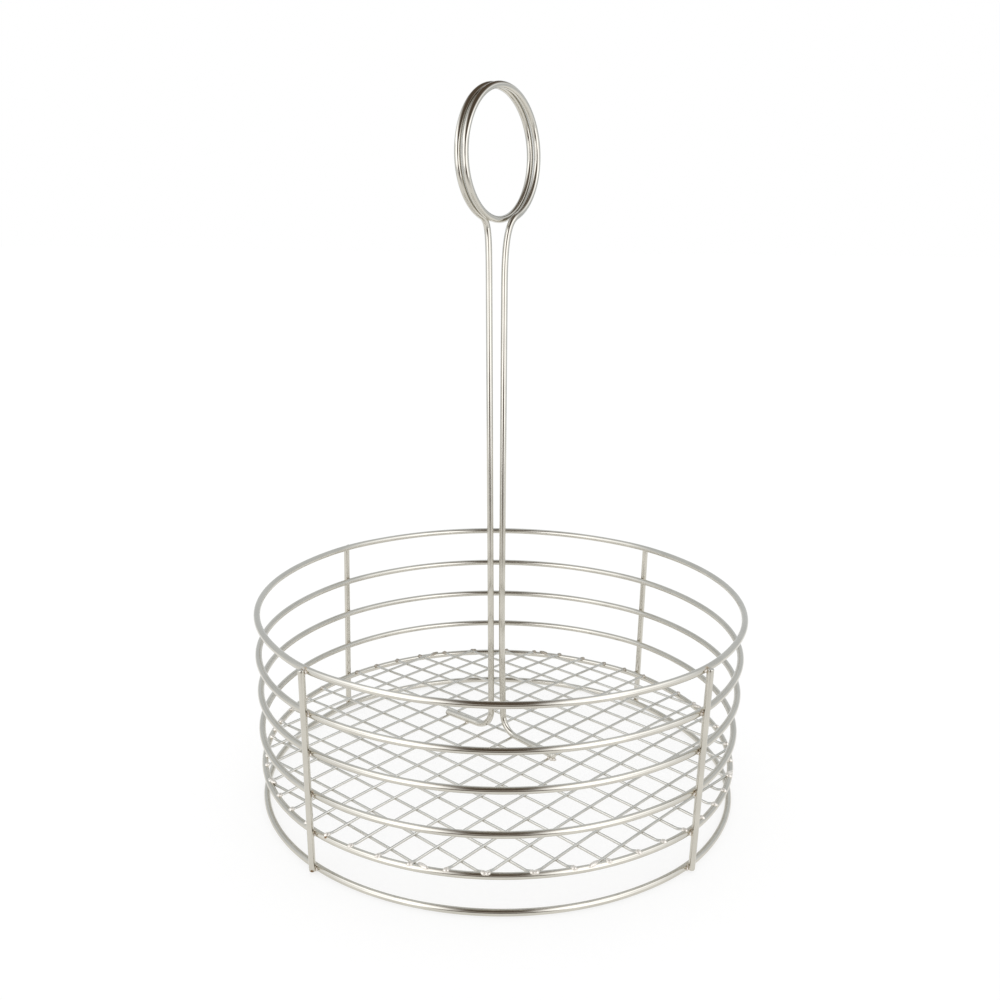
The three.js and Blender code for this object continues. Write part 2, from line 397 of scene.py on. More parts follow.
class StageSettings(bpy.types.PropertyGroup):
    """The white studio round the basket, and the camera."""

    floor_size: FloatProperty(
        name="Floor size", description="Half width of the floor",
        default=6.0, **METRES)
    floor_colour: FloatVectorProperty(
        name="Floor colour", description="Pale floor",
        default=(0.29, 0.29, 0.29), **COLOUR)
    floor_glow: FloatProperty(
        name="Floor glow", description="What the floor adds to reach white where it is seen or mirrored",
        default=0.73, **SHARE)
    tent_height: FloatProperty(
        name="Tent height", description="Height of the light tent's roof",
        default=0.37, **METRES)
    tent_front: FloatProperty(
        name="Tent front", description="Distance of the tent's front from the basket's axis",
        default=0.44, **METRES)
    tent_reach: FloatProperty(
        name="Tent reach", description="Distance of the tent's sides and back from the basket's axis",
        default=0.7, **METRES)
    panel_colour: FloatVectorProperty(
        name="Panel colour", description="Two light panels in the front and the roof",
        size=3, default=(1.95, 1.97, 2.05), min=0.0, max=4.0, subtype="COLOR")
    wall_colour: FloatVectorProperty(
        name="Wall colour", description="Sides and back of the tent",
        default=(0.715, 0.745, 0.78), **COLOUR)
    slot_colour: FloatVectorProperty(
        name="Slot colour", description="Dark slot between the panels",
        default=(0.115, 0.088, 0.065), **COLOUR)
    slot_width: FloatProperty(
        name="Slot width", description="Half width of the slot above the basket's axis",
        default=0.095, **METRES)
    slot_spread: FloatProperty(
        name="Slot spread", description="How much the slot's half width grows per metre towards the front",
        default=0.12)
    slot_edge: FloatProperty(
        name="Slot edge", description="Half width of the slot's soft edge",
        default=0.065, **METRES)
    slot_back: FloatProperty(
        name="Slot back", description="How far behind the basket's axis the slot ends",
        default=0.1, **METRES)
    floor_edge: FloatProperty(
        name="Floor edge", description="Where the white floor in front of the basket begins to darken",
        default=0.22, **METRES)
    camera_distance: FloatProperty(
        name="Camera distance", description="Level distance from the basket's axis to the camera",
        default=462.06 * MM, **METRES)
    camera_height: FloatProperty(
        name="Camera height", description="Height of the camera above the floor",
        default=258.76 * MM, **METRES)
    camera_azimuth: FloatProperty(
        name="Camera azimuth", description="Turn of the camera round the basket",
        default=math.radians(-3.0), subtype="ANGLE")
    camera_pitch: FloatProperty(
        name="Camera pitch", description="How far the camera looks down",
        default=math.radians(15.071), subtype="ANGLE")
    camera_yaw: FloatProperty(
        name="Camera yaw", description="How far the camera looks to the right of the axis",
        default=-0.0020, subtype="ANGLE")
    camera_roll: FloatProperty(
        name="Camera roll", description="How far the camera leans",
        default=0.0128, subtype="ANGLE")
    camera_lens: FloatProperty(
        name="Lens", description="Focal length in millimetres on a 36 mm frame",
        default=39.22, min=1.0)


# Surfaces

STEEP = 0.9
SHARP_EDGE = math.radians(40)
BEAD_ROWS = 11
BEAD_SIDES = 16
COARSE_SHIFT = 1.7
FINE_SHIFT = 2.3
FINE_SHARE = 0.6


def carried_frames(path):
    """Two directions across a path at each station, carried along it without twist.

    A trial direction is set square to each tangent. Each is then turned by the least rotation onto the next
    tangent, and the angles by which the next trial direction misses it are summed up and taken away.
    """
    tangent = unit(np.gradient(path, axis=0))
    helper = np.where(np.abs(tangent[:, 2:3]) < STEEP, [UP], [[1.0, 0.0, 0.0]])
    first = unit(np.cross(helper, tangent))
    second = np.cross(tangent, first)
    axis = np.cross(tangent[:-1], tangent[1:])
    cosine = (tangent[:-1] * tangent[1:]).sum(1, keepdims=True)
    lean = (axis * first[:-1]).sum(1, keepdims=True) / (1 + cosine)
    carried = first[:-1] * cosine + np.cross(axis, first[:-1]) + axis * lean
    turn = np.arctan2((carried * second[1:]).sum(1), (carried * first[1:]).sum(1))
    angle = np.concatenate([[0.0], np.cumsum(turn)])[:, None]
    return first * np.cos(angle) + second * np.sin(angle), second * np.cos(angle) - first * np.sin(angle)


def swept_grid(path, first, second, half_first, half_second, sides):
    """An ellipse carried along a path: centre + a cos(t) first + b sin(t) second, for t round the section."""
    round_angle = np.arange(sides) / sides * 2 * np.pi
    across = np.cos(round_angle)[None, :, None] * np.asarray(half_first)[:, None, None] * first[:, None, :]
    up = np.sin(round_angle)[None, :, None] * np.asarray(half_second)[:, None, None] * second[:, None, :]
    return path[:, None, :] + across + up


def run_along(path):
    """Distance along a path at each of its stations."""
    return np.concatenate([[0.0], np.cumsum(np.linalg.norm(np.diff(path, axis=0), axis=1))])


def shell(grid, along, girth, closed):
    """A closed surface from a grid whose rows go round a section and follow each other along a path.

    Rows are joined by quads. A closed path joins its last row to its first, and an open one ends in a point
    at the mean of each end row. The UV map runs along the path and round the section, both in metres.
    """
    rows, sides = grid.shape[:2]
    last = rows if closed else rows - 1
    i, j = np.meshgrid(np.arange(last), np.arange(sides), indexing="ij")
    next_i, next_j = (i + 1) % rows, (j + 1) % sides
    quads = np.stack([i * sides + j, i * sides + next_j, next_i * sides + next_j, next_i * sides + j], -1)
    v = np.arange(sides + 1) / sides * girth
    u0, u1 = along[i], along[i + 1]
    quad_uv = np.stack([np.stack([u0, v[j]], -1), np.stack([u0, v[j + 1]], -1),
                        np.stack([u1, v[j + 1]], -1), np.stack([u1, v[j]], -1)], -2)
    points = grid.reshape(-1, 3)
    faces = [quads.reshape(-1, 4)]
    uvs = [quad_uv.reshape(-1, 2)]
    if not closed:
        points = np.concatenate([points, grid[:1].mean(1), grid[-1:].mean(1)])
        k = np.arange(sides)
        after = (k + 1) % sides
        tip = np.full(sides, rows * sides)
        start = (rows - 1) * sides
        faces += [np.stack([tip, after, k], -1), np.stack([tip + 1, start + k, start + after], -1)]
        middle = (v[:-1] + v[1:]) / 2
        ends = np.repeat(along[[0, -1]], sides)
        first_uv = np.stack([np.stack([ends[:sides], middle], -1), np.stack([ends[:sides], v[1:]], -1),
                             np.stack([ends[:sides], v[:-1]], -1)], 1)
        last_uv = np.stack([np.stack([ends[sides:], middle], -1), np.stack([ends[sides:], v[:-1]], -1),
                            np.stack([ends[sides:], v[1:]], -1)], 1)
        uvs += [first_uv.reshape(-1, 2), last_uv.reshape(-1, 2)]
    return {"points": points, "faces": faces, "uv": np.concatenate(uvs)}


def joined(shells):
    """Several shells as one, each keeping its own points."""
    start = np.cumsum([0] + [len(part["points"]) for part in shells])
    faces = [face + start[k] for k, part in enumerate(shells) for face in part["faces"]]
    return {"points": np.concatenate([part["points"] for part in shells]), "faces": faces,
            "uv": np.concatenate([part["uv"] for part in shells])}


def nearness(points, spots, reach):
    """How near each point is to its nearest spot: exp(-(distance / reach)^2), 1 at a spot and 0 far off."""
    gaps = np.linalg.norm(points[:, None, :] - np.asarray(spots)[None, :, :], axis=-1).min(1)
    return np.exp(-(gaps / reach) ** 2)


def add_piece(name, surface, material, heat=None, rust=None, nodes=()):
    """Makes the mesh object of a piece, with its UV map, tint layers, material and place in the part."""
    mesh = bpy.data.meshes.new(name)
    corners = np.concatenate([block.ravel() for block in surface["faces"]])
    counts = np.concatenate([np.full(len(block), block.shape[1]) for block in surface["faces"]])
    mesh.vertices.add(len(surface["points"]))
    mesh.vertices.foreach_set("co", surface["points"].astype(np.float32).ravel())
    mesh.loops.add(len(corners))
    mesh.loops.foreach_set("vertex_index", corners.astype(np.int32))
    mesh.polygons.add(len(counts))
    mesh.polygons.foreach_set("loop_start", (np.cumsum(counts) - counts).astype(np.int32))
    mesh.update(calc_edges=True)
    mesh.uv_layers.new(name=WIRE_MAP).uv.foreach_set("vector", surface["uv"].astype(np.float32).ravel())
    for label, values in ((HEAT_LAYER, heat), (RUST_LAYER, rust)):
        column = np.zeros(len(mesh.vertices)) if values is None else values
        attribute = mesh.attributes.new(label, "FLOAT", "POINT")
        attribute.data.foreach_set("value", column.astype(np.float32))
    mesh.shade_smooth()
    mesh.set_sharp_from_angle(angle=SHARP_EDGE)
    mesh.materials.append(material)
    piece = bpy.data.objects.new(name, mesh)
    bpy.context.scene.collection.objects.link(piece)
    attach(piece, BODY)
    if nodes:
        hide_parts(*nodes)


def bead_shell(centre, axes, half_sizes, lumps, phase):
    """A lumpy egg: centre + the axes scaled by the half sizes, times 1 + lumps (coarse + share fine).

    Coarse is sin(2a + phase) sin(2p + shift) and fine is sin(3a - shift) sin(p), where a goes round the egg,
    p goes from its lower pole to its upper one, and each shift is a multiple of the phase.
    """
    polar = (np.arange(BEAD_ROWS) + 0.5) / BEAD_ROWS * np.pi
    around = np.arange(BEAD_SIDES) / BEAD_SIDES * 2 * np.pi
    polar, around = np.meshgrid(polar, around, indexing="ij")
    coarse = np.sin(2 * around + phase) * np.sin(2 * polar + COARSE_SHIFT * phase)
    fine = np.sin(3 * around - FINE_SHIFT * phase) * np.sin(polar)
    swell = 1 + lumps * (coarse + FINE_SHARE * fine)
    ball = np.stack([np.sin(polar) * np.cos(around), np.sin(polar) * np.sin(around), -np.cos(polar)], -1)
    scaled = ball * swell[..., None] * np.asarray(half_sizes)
    grid = np.asarray(centre) + scaled @ np.asarray(axes)
    size = float(np.mean(half_sizes))
    along = np.arange(BEAD_ROWS) / BEAD_ROWS * np.pi * size
    return shell(grid, along, 2 * np.pi * size, closed=False)


# Lines of the wires and places of the welds, from the frame

# How far a ring's waves turn from one ring to the next, and how much of its waver is in its height
RADIUS_TURN = 1.3
HEIGHT_TURN = 2.1
HEIGHT_WAVER = 0.4

# How steeply the mesh drops at its edge
EDGE_POWER = 6

# Stations along the parts of the handle, and along the eased edge of its ends as shares of that edge
LOOP_STATIONS = 361
STRAIGHT_STATIONS = 40
BEND_STATIONS = 19
LEG_STATIONS = 120
NECK_STATIONS = 60
END_STATIONS = np.array([0.0, 0.03, 0.12, 0.3, 0.6])


def upright_angle(node):
    """Direction from the basket's axis to an upright."""
    low, high = wire_ends(node)
    middle = (low + high) / 2
    return math.atan2(middle[1], middle[0])


def loose_ring(node, around, wires):
    """A ring's centre line before welding: (R cos p + shift, R sin p, z + lift - tilt sin p + lean cos p).

    R is larger by oval (1 + cos 2p), and R and z stray a little in two and three waves round the ring, as in
    wire that is bent by hand. The base ring's y is less by its forward place times (1 + sin p), and its z has
    no waves.
    """
    radius, height, _ = ring_size(node)
    order = RING_NODES.index(node)
    reach = radius + wires.ring_ovals[order] * (1 + np.cos(2 * around))
    reach = reach + wires.waver * np.cos(2 * around + RADIUS_TURN * order)
    rise = height + wires.ring_lifts[order]
    rise = rise - wires.ring_tilts[order] * np.sin(around) + wires.ring_leans[order] * np.cos(around)
    if node != "base_ring":
        rise = rise + HEIGHT_WAVER * wires.waver * np.cos(3 * around + HEIGHT_TURN * order)
    across = reach * np.cos(around) + wires.ring_shifts[order]
    forward = wires.base_ring_forward if node == "base_ring" else 0.0
    deep = reach * np.sin(around) - forward * (1 + np.sin(around))
    return np.stack(np.broadcast_arrays(across, deep, rise), -1)


def upright_line(node, wires):
    """Lower and upper end of an upright's centre line, which leans round the basket and is sawn shorter."""
    low, high = sorted(wire_ends(node), key=lambda end: end[2])
    leans = {"upright_front_right": wires.front_right_lean, "upright_back_left": wires.back_left_lean}
    lean = leans.get(node, 0.0)
    middle = (low + high) / 2
    sideways = unit(np.array([-middle[1], middle[0], 0.0]))
    drop = wires.top_drops[UPRIGHT_NODES.index(node)] * unit(high - low)
    return low - lean / 2 * sideways, high + lean / 2 * sideways - drop


def beside_ring(upright, ring, wires):
    """The point of an upright's centre line at a ring's height."""
    low, high = upright_line(upright, wires)
    share = (ring_size(ring)[1] - low[2]) / (high[2] - low[2])
    return low + share * (high - low)


def ring_line(node, around, wires):
    """Centre line of a welded ring: the loose ring, drawn outward to each upright by the gap left there.

    The gap is the upright's distance from the axis, less the ring's, less one wire's thickness, plus the
    weld's sink. It is multiplied by exp(-(d / reach)^2), where d is the distance along the ring.
    """
    line = loose_ring(node, around, wires)
    outward = np.stack([np.cos(around), np.sin(around), np.zeros_like(around)], -1)
    for upright in UPRIGHT_NODES:
        beside = beside_ring(upright, node, wires)
        angle = np.arctan2(beside[1], beside[0])
        loose = loose_ring(node, angle, wires)
        apart = np.hypot(beside[0], beside[1]) - np.hypot(loose[0], loose[1])
        gap = apart - 2 * FRAME_RADIUS + wires.weld_sink
        away = BASE_RADIUS * np.angle(np.exp(1j * (around - angle)))
        line = line + (gap * np.exp(-(away / wires.weld_reach) ** 2))[..., None] * outward
    return line


def upright_weld_spots(wires):
    """Where each ring touches each upright: halfway between their centre lines, at the ring's height."""
    spots = {}
    for node in UPRIGHT_NODES:
        touches = []
        for ring in RING_NODES:
            beside = beside_ring(node, ring, wires)
            centre = ring_line(ring, np.arctan2(beside[1], beside[0]), wires)
            touches.append((centre + beside) / 2)
        spots[node] = np.array(touches)
    return spots


def upright_tint(node, points, spots, welds):
    """Heat tint about an upright's welds: nearness to them, times the back tint for the two back uprights."""
    strength = welds.back_tint if "back" in node else 1.0
    return strength * nearness(points, spots, welds.upright_heat)


def floor_wires(nodes):
    """Start points and directions of a layer of mesh wires, seen from above, and the ends of the wires."""
    ends = np.array([wire_ends(node) for node in nodes])
    return ends[:, 0, :2], unit(ends[:, 1, :2] - ends[:, 0, :2]), ends


def cut_ends(ends, floor):
    """The ends of a mesh wire after cutting, and whether each lies along the ring.

    A wire that meets the ring is cut by the tail cut, measured along the floor's radius. One that lies along
    the ring keeps nearly all its length.
    """
    way = unit(ends[1] - ends[0])
    facing = np.abs(unit(ends[:, :2]) @ way[:2])
    lying = facing < math.cos(floor.lying_angle)
    cut = np.where(lying, floor.lying_cut, floor.tail_cut / facing)
    return ends + [[cut[0]], [-cut[1]]] * way, lying


def crossings(start, along, other_start, other_along):
    """Points where one wire crosses the other layer's wires: along it by each one's offset over the sine."""
    normal = np.stack([-other_along[:, 1], other_along[:, 0]], -1)
    run = ((other_start - start) * normal).sum(1) / (normal @ along)
    points = start + run[:, None] * along
    return points[np.hypot(points[:, 0], points[:, 1]) < FLOOR_RADIUS]


def floor_height(points, middle, floor):
    """Height of a mesh layer: its middle height, less the crown times the squared share of the radius.

    Close to the ring it is less again, by the edge drop times a high power of that share. The drop fades from
    the front of the ring to its back.
    """
    share = np.hypot(points[..., 0], points[..., 1]) / FLOOR_RADIUS
    forward = (1 - points[..., 1] / FLOOR_RADIUS) / 2
    return middle - floor.crown * share ** 2 - floor.edge_drop * share ** EDGE_POWER * forward


def handle_point(handle, place, along, across, height):
    """A point of the handle: along and across its loop's plane from a place, at a height."""
    cosine, sine = math.cos(handle.loop_angle), math.sin(handle.loop_angle)
    x = place[0] + along * cosine + across * sine
    y = place[1] + along * sine - across * cosine
    return np.stack(np.broadcast_arrays(x, y, height), -1)


def loop_path(handle):
    """A leaning helix of nearly two turns about the loop's axis: (-R sin a, rise of a, top - R - R cos a)."""
    start = handle.neck_angle
    sweep = 2 * (2 * np.pi - start)
    share = np.linspace(0, 1, LOOP_STATIONS)
    angle = start + share * sweep
    across = (share - 0.5) * sweep / (2 * np.pi) * (2 * FRAME_RADIUS + handle.turn_gap)
    centre = OVERALL_HEIGHT - handle.loop_radius - FRAME_RADIUS
    height = centre - handle.loop_radius * np.cos(angle)
    across = across + math.tan(handle.loop_lean) * (height - centre)
    return handle_point(handle, handle.loop_place, -handle.loop_radius * np.sin(angle), across, height)


def leg_path(handle, side, loop_end, loop_way):
    """Half of the handle below its loop: a straight foot, a quarter circle, a straight leg and a cubic neck.

    Side is -1 for the left leg and 1 for the right one, which also curves away above its foot: by its flare
    times the squared share of the flare's height that is left.
    """
    bottom, outward, length = foot_line(handle, side)
    eased_end = length - END_STATIONS * handle.end_ease
    straight = np.linspace(length - handle.end_ease, handle.foot_bend, STRAIGHT_STATIONS)
    foot = bottom + np.concatenate([eased_end, straight])[:, None] * outward
    turn = np.linspace(np.pi / 2, 0, BEND_STATIONS)[1:, None]
    bend = bottom + handle.foot_bend * ((1 - np.cos(turn)) * outward + (1 - np.sin(turn)) * UP)

    flare = np.array([*handle.right_flare, 0.0]) if side > 0 else np.zeros(3)
    along, across = side * np.array(handle.neck_spread) / 2
    neck_height = OVERALL_HEIGHT - 2 * handle.loop_radius - FRAME_RADIUS - handle.neck_run
    neck = handle_point(handle, handle.neck_place, along, across, neck_height)
    rise = np.linspace(0, 1, LEG_STATIONS)[1:, None]
    curving = np.clip(1 - rise * (neck[2] - bend[-1][2]) / handle.flare_height, 0, 1) ** 2
    leg = bend[-1] - flare + rise * (neck - bend[-1] + flare) + curving * flare

    pull_leg = neck + unit(neck - bottom + flare) * handle.neck_leg_reach
    pull_loop = loop_end - loop_way * handle.neck_loop_reach
    t = np.linspace(0, 1, NECK_STATIONS)[1:, None]
    curve = (1 - t) ** 3 * neck + 3 * (1 - t) ** 2 * t * pull_leg
    curve = curve + 3 * (1 - t) * t ** 2 * pull_loop + t ** 3 * loop_end
    return np.concatenate([foot, bend, leg, curve])


def foot_line(handle, side):
    """Where a leg's centre line meets its foot's, the foot's direction and its length from there."""
    place = handle.left_foot_place if side < 0 else handle.right_foot_place
    angle = handle.left_foot_angle if side < 0 else handle.right_foot_angle
    length = handle.left_foot_length if side < 0 else handle.right_foot_length
    corner = np.array([*place, handle.foot_height])
    return corner, np.array([math.cos(angle), math.sin(angle), 0.0]), length


def handle_path(handle):
    """Centre line of the handle, from the left foot's end over the loop to the right foot's end."""
    loop = loop_path(handle)
    left = leg_path(handle, -1, loop[0], unit(loop[1] - loop[0]))
    right = leg_path(handle, 1, loop[-1], unit(loop[-2] - loop[-1]))
    return np.concatenate([left[:-1], loop, right[-2::-1]])


def foot_weld_spots(scene):
    """Where the handle's feet lie on the wires of the upper mesh layer, at the height at which they touch."""
    handle, floor = scene.basket_handle, scene.basket_floor
    starts, ways, _ = floor_wires(UPPER_NODES)
    spots = []
    for side in (-1, 1):
        corner, outward, length = foot_line(handle, side)
        knots = crossings(corner[:2], outward[:2], starts, ways)
        run = (knots - corner[:2]) @ outward[:2]
        spots.append(knots[(run > handle.foot_bend) & (run < length)])
    spots = np.concatenate(spots)
    touch = floor_height(spots, floor.upper_middle, floor) + floor.wire / 2
    return np.concatenate([spots, touch[:, None]], 1)


# Finishes

WHITE = (1.0, 1.0, 1.0)
FALLING = (1.0, 0.0)

# Sockets of a Mix node that mixes colours
MIX_LOW, MIX_HIGH, MIX_RESULT = 6, 7, 2

# How many waves of each noise there are in a metre, and how finely a noise breaks up
CLOUDS = 70.0
GRAINS = 1100.0
PITS = 1500.0
PATCHES = 520.0
COARSE_DETAIL = 2.0
FINE_DETAIL = 3.0
NOISE_ROUGHNESS = 0.55

# Drawn steel: each band holds the values of a noise or layer over which a mark comes in
DULL_TONE = 0.94
BRIGHT_TONE = 1.05
CLOUD_BAND = (0.3, 0.7)
STREAK_BAND = (0.35, 0.75)
STREAK_DULLNESS = (0.0, 0.4)
HEAT_GRAIN_BAND = (0.2, 0.75)
HEAT_GRAIN_SHARE = (0.55, 1.25)
TINT_BAND = (0.12, 0.6)
TINT_STRENGTH = (0.0, 0.9)
BROWN_BAND = (0.35, 0.85)
RUST_GRAIN_BAND = (0.2, 0.7)
RUST_GRAIN_SHARE = (0.6, 1.3)
RUST_BAND = (0.3, 0.75)
RUST_METAL = (1.0, 0.1)
LINE_BAND = (0.3, 0.7)
LINE_ROUGHNESS = (0.7, 1.4)
HEAT_ROUGHNESS = 0.22

# Weld metal: the noise value under which each kind of bead is brown, and its pits
FRAME_OXIDE = 0.26
TAIL_OXIDE = 0.18
OXIDE_EDGE = 0.16
PIT_STRAW_BAND = (0.55, 0.85)
PIT_STRAW = (0.0, 0.4)
PIT_BAND = (0.3, 0.7)
PIT_ROUGHNESS = (0.36, 0.52)
PIT_STRENGTH = 0.3
PIT_DEPTH = 0.03 * MM


def new_finish(name):
    """A new material, its node tree and its shader."""
    material = bpy.data.materials.new(name)
    material.use_nodes = True
    tree = material.node_tree
    return material, tree, tree.nodes["Principled BSDF"]


def add_node(tree, kind, **settings):
    """A shader node with its plain settings, and with its sockets set from a dictionary of inputs."""
    node = tree.nodes.new(kind)
    inputs = settings.pop("inputs", {})
    for key, value in settings.items():
        setattr(node, key, value)
    for key, value in inputs.items():
        node.inputs[key].default_value = value
    return node


def feed(tree, socket, value):
    """Links a socket to another one, or sets it to a number or colour."""
    if isinstance(value, bpy.types.NodeSocket):
        tree.links.new(value, socket)
    else:
        socket.default_value = value


def scaled_noise(tree, source, scale, detail):
    """Noise over coordinates that are stretched by a scale along each axis."""
    mapping = add_node(tree, "ShaderNodeMapping", inputs={"Scale": scale})
    noise = add_node(tree, "ShaderNodeTexNoise",
                     inputs={"Scale": 1.0, "Detail": detail, "Roughness": NOISE_ROUGHNESS})
    tree.links.new(source, mapping.inputs["Vector"])
    tree.links.new(mapping.outputs["Vector"], noise.inputs["Vector"])
    return noise.outputs["Fac"]


def blended(tree, factor, low, high):
    """Colour mixed from low to high by a factor. Low and high are colours or sockets."""
    mix = add_node(tree, "ShaderNodeMix", data_type="RGBA")
    tree.links.new(factor, mix.inputs["Factor"])
    for place, value in ((MIX_LOW, low), (MIX_HIGH, high)):
        feed(tree, mix.inputs[place], value if isinstance(value, bpy.types.NodeSocket) else (*value, 1.0))
    return mix.outputs[MIX_RESULT]


def ranged(tree, value, band, result=(0.0, 1.0)):
    """A value carried smoothly from a band of numbers to its result, and kept inside it."""
    node = add_node(tree, "ShaderNodeMapRange", interpolation_type="SMOOTHSTEP")
    for key, number in zip(("From Min", "From Max", "To Min", "To Max"), (*band, *result)):
        node.inputs[key].default_value = number
    tree.links.new(value, node.inputs["Value"])
    return node.outputs["Result"]


def measured(tree, operation, *values):
    """The result of arithmetic on sockets and numbers."""
    node = add_node(tree, "ShaderNodeMath", operation=operation)
    for socket, value in zip(node.inputs, values):
        feed(tree, socket, value)
    return node.outputs["Value"]


def add_bump(tree, shader, height, strength, distance):
    """Lets a shader's normals follow a height, from a socket."""
    bump = add_node(tree, "ShaderNodeBump", inputs={"Strength": strength, "Distance": distance})
    tree.links.new(height, bump.inputs["Height"])
    tree.links.new(bump.outputs["Normal"], shader.inputs["Normal"])


def steel_finish(name, colour, roughness, finish):
    """Bare drawn steel: fine lines along the wire, cloudy tone, heat tint beside welds and specks of rust.

    Its polish spreads reflections along the wire, which is the first direction of the wire's UV map.
    """
    material, tree, shader = new_finish(name)
    place = add_node(tree, "ShaderNodeTexCoord").outputs["Object"]
    wire = add_node(tree, "ShaderNodeUVMap", uv_map=WIRE_MAP).outputs["UV"]
    heat = add_node(tree, "ShaderNodeAttribute", attribute_name=HEAT_LAYER).outputs["Fac"]
    rust = add_node(tree, "ShaderNodeAttribute", attribute_name=RUST_LAYER).outputs["Fac"]
    lines = scaled_noise(tree, wire, (1 / finish.streak_length, 1 / finish.streak_spacing, 1.0), FINE_DETAIL)
    clouds = scaled_noise(tree, place, (CLOUDS, CLOUDS, CLOUDS), COARSE_DETAIL)
    grains = scaled_noise(tree, place, (GRAINS, GRAINS, GRAINS), COARSE_DETAIL)

    dull = tuple(DULL_TONE * channel for channel in colour)
    bright = tuple(min(1.0, BRIGHT_TONE * channel) for channel in colour)
    tone = blended(tree, ranged(tree, clouds, CLOUD_BAND), dull, bright)
    streaked = blended(tree, ranged(tree, lines, STREAK_BAND, STREAK_DULLNESS), tone, dull)
    patchy = measured(tree, "MULTIPLY", heat, ranged(tree, grains, HEAT_GRAIN_BAND, HEAT_GRAIN_SHARE))
    tint = blended(tree, ranged(tree, patchy, BROWN_BAND), finish.straw, finish.brown)
    heated = blended(tree, ranged(tree, patchy, TINT_BAND, TINT_STRENGTH), streaked, tint)
    specks = measured(tree, "MULTIPLY", rust, ranged(tree, grains, RUST_GRAIN_BAND, RUST_GRAIN_SHARE))
    rusted = ranged(tree, specks, RUST_BAND)
    tree.links.new(blended(tree, rusted, heated, finish.rust), shader.inputs["Base Color"])
    tree.links.new(ranged(tree, rusted, (0.0, 1.0), RUST_METAL), shader.inputs["Metallic"])

    smooth = ranged(tree, lines, LINE_BAND, [share * roughness for share in LINE_ROUGHNESS])
    rough = measured(tree, "MULTIPLY_ADD", patchy, HEAT_ROUGHNESS, smooth)
    tree.links.new(rough, shader.inputs["Roughness"])
    tangent = add_node(tree, "ShaderNodeTangent", direction_type="UV_MAP", uv_map=WIRE_MAP)
    tree.links.new(tangent.outputs["Tangent"], shader.inputs["Tangent"])
    shader.inputs["Anisotropic"].default_value = finish.lengthwise
    add_bump(tree, shader, lines, 1.0, finish.streak_depth)
    return material


def bead_finish(name, colour, oxide, finish):
    """Weld metal: a clean bright crown, brown oxide in its hollows, and a fine pitted skin.

    Oxide is the noise value under which the skin is brown. The beads behind the basket's axis are given a
    darker colour, which is painted shade.
    """
    material, tree, shader = new_finish(name)
    shader.inputs["Metallic"].default_value = 1.0
    place = add_node(tree, "ShaderNodeTexCoord").outputs["Object"]
    pits = scaled_noise(tree, place, (PITS, PITS, PITS), FINE_DETAIL)
    patches = scaled_noise(tree, place, (PATCHES, PATCHES, PATCHES), COARSE_DETAIL)
    split = add_node(tree, "ShaderNodeSeparateXYZ")
    tree.links.new(place, split.inputs["Vector"])
    # Painted shade: beads behind the basket's axis are blended towards a darker colour
    behind = ranged(tree, split.outputs["Y"], (0.0, FLOOR_RADIUS))
    clean = blended(tree, behind, colour, finish.back_bead_shade)
    skin = blended(tree, ranged(tree, patches, (oxide, oxide + OXIDE_EDGE)), finish.brown, clean)
    pitted = blended(tree, ranged(tree, pits, PIT_STRAW_BAND, PIT_STRAW), skin, finish.straw)
    tree.links.new(pitted, shader.inputs["Base Color"])
    tree.links.new(ranged(tree, pits, PIT_BAND, PIT_ROUGHNESS), shader.inputs["Roughness"])
    add_bump(tree, shader, pits, PIT_STRENGTH, PIT_DEPTH)
    return material


def shared_finish(name, make, *values):
    """The material of that name, made the first time that it is asked for."""
    return bpy.data.materials.get(name) or make(name, *values)


def frame_steel(scene):
    """The finish of the rings, uprights and handle."""
    finish = scene.basket_finish
    look = (finish.frame_colour, finish.frame_roughness)
    return shared_finish("drawn_frame_wire", steel_finish, *look, finish)


def mesh_steel(scene):
    """The finish of the floor mesh."""
    finish = scene.basket_finish
    look = (finish.mesh_colour, finish.mesh_roughness)
    return shared_finish("drawn_mesh_wire", steel_finish, *look, finish)


def weld_metal(scene):
    """The finish of the weld beads at the uprights and feet."""
    finish = scene.basket_finish
    return shared_finish("weld_bead", bead_finish, finish.bead_colour, FRAME_OXIDE, finish)


def tail_metal(scene):
    """The finish of the cleaner weld beads at the mesh wires' ends."""
    finish = scene.basket_finish
    return shared_finish("tail_bead", bead_finish, finish.tail_colour, TAIL_OXIDE, finish)


# Pieces

# Rust specks: on the floor ring, measured from the left front upright, and on that upright's foot
SPECK_TURN = math.radians(3.9)
SPECK_LEAN = math.radians(47)
SPECK_REACH = 0.7 * MM
FOOT_SPECK = np.array([-0.1 * MM, -1.35 * MM, 0.7 * MM])
FOOT_SPECK_REACH = 0.9 * MM

# An upright: the stations along its foot, shaft and sawn top, where the foot starts and how blunt it is
FOOT_STATIONS = 7
FOOT_START = 0.1
FOOT_BLUNTNESS = 0.7
SHAFT_STATIONS = 90
TOP_STATIONS = 5

# A mesh wire's rounded tip: its length as a share of the wire, its stations and its least squared width
TIP_SHARE = 0.45
TIP_STATIONS = np.array([0.0, 0.06, 0.2, 0.4, 0.7])
TIP_LEAST = 0.04

# The handle's tint where its feet are welded
FOOT_TINT = 0.7
FOOT_HEAT = 1.4 * MM

# Weld beads: how far the lumps turn from bead to bead, and what sets the tails' and feet's beads apart
UPRIGHT_PHASE, RING_PHASE = 1.9, 2.4
WIRE_PHASE, WIRE_END_PHASE = 2.7, 1.1
FOOT_PHASE, FOOT_END_PHASE = 1.3, 0.6
RING_SAMPLES = 721
LYING_SHARE = 0.75
FOOT_FLATTENING = np.array([1.0, 1.0, 0.55])
FOOT_END_LUMPS = 2.0


